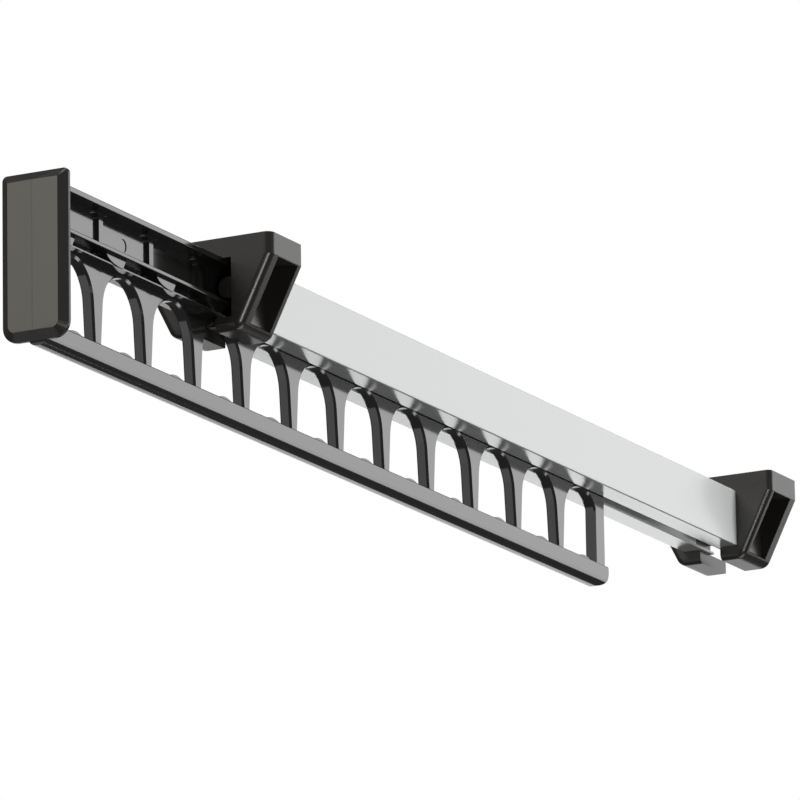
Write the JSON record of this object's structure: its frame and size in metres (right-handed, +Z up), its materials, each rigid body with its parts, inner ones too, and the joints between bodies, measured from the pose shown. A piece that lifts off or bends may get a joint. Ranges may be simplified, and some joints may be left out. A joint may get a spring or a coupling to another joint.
{
  "type": "pull-out clothes rail",
  "caption": "Under-shelf wardrobe rail: an arched, ribbed hanger carrier slides out of a slotted aluminium channel held by two moulded brackets.",
  "frame": {"origin": "on the shelf's underside, in the middle of the four shelf screw holes", "axes": "+X across the rail to the near side in the picture, +Y to the rear (the rail pulls out along -Y), +Z up into the shelf"},
  "size_m": [0.056, 0.5761, 0.0672],
  "materials": {
    "bracket": "satin moulded plastic",
    "plate": "satin moulded plastic",
    "rail": "polished moulded plastic",
    "channel": "fine satin anodised extrusion",
    "steel": "zinc plated",
    "roller": "natural acetal",
    "pad": "matt"
  },
  "bodies": {
    "housing": {"front_bracket": "bracket", "rear_bracket": "bracket", "cover_channel": "channel", "front_channel_screws": "steel", "rear_channel_screws": "steel"},
    "carrier": {"carrier_rail": "rail", "end_plate": "plate", "stop_block_near": "rail", "stop_block_far": "rail", "stop_screw": "steel", "stop_nut": "steel", "stop_pads": "pad", "front_axle": "steel", "rear_axle": "steel", "axle_clips": "steel"},
    "wheel_front_near": {"front_roller_near": "roller"},
    "wheel_front_far": {"front_roller_far": "roller"},
    "wheel_rear_near": {"rear_roller_near": "roller"},
    "wheel_rear_far": {"rear_roller_far": "roller"}
  },
  "joints": [
    {"name": "rail_slide", "type": "slide", "parent": "housing", "child": "carrier", "axis": [0, -1, 0], "range_m": [-0.122, 0.2085]},
    {"name": "front_near_spin", "type": "hinge", "parent": "carrier", "child": "wheel_front_near", "pos_m": [0.0076, 0.0535, -0.01835], "axis": [1, 0, 0], "continuous": true},
    {"name": "front_far_spin", "type": "hinge", "parent": "carrier", "child": "wheel_front_far", "pos_m": [-0.0076, 0.0535, -0.01835], "axis": [1, 0, 0], "continuous": true},
    {"name": "rear_near_spin", "type": "hinge", "parent": "carrier", "child": "wheel_rear_near", "pos_m": [0.0076, 0.0765, -0.01835], "axis": [1, 0, 0], "continuous": true},
    {"name": "rear_far_spin", "type": "hinge", "parent": "carrier", "child": "wheel_rear_far", "pos_m": [-0.0076, 0.0765, -0.01835], "axis": [1, 0, 0], "continuous": true}
  ],
  "couplings": [
    {"joint": "front_near_spin", "follows": "rail_slide", "rad_per_m": 94.34},
    {"joint": "front_far_spin", "follows": "rail_slide", "rad_per_m": 94.34},
    {"joint": "rear_near_spin", "follows": "rail_slide", "rad_per_m": 94.34},
    {"joint": "rear_far_spin", "follows": "rail_slide", "rad_per_m": 94.34}
  ]
}
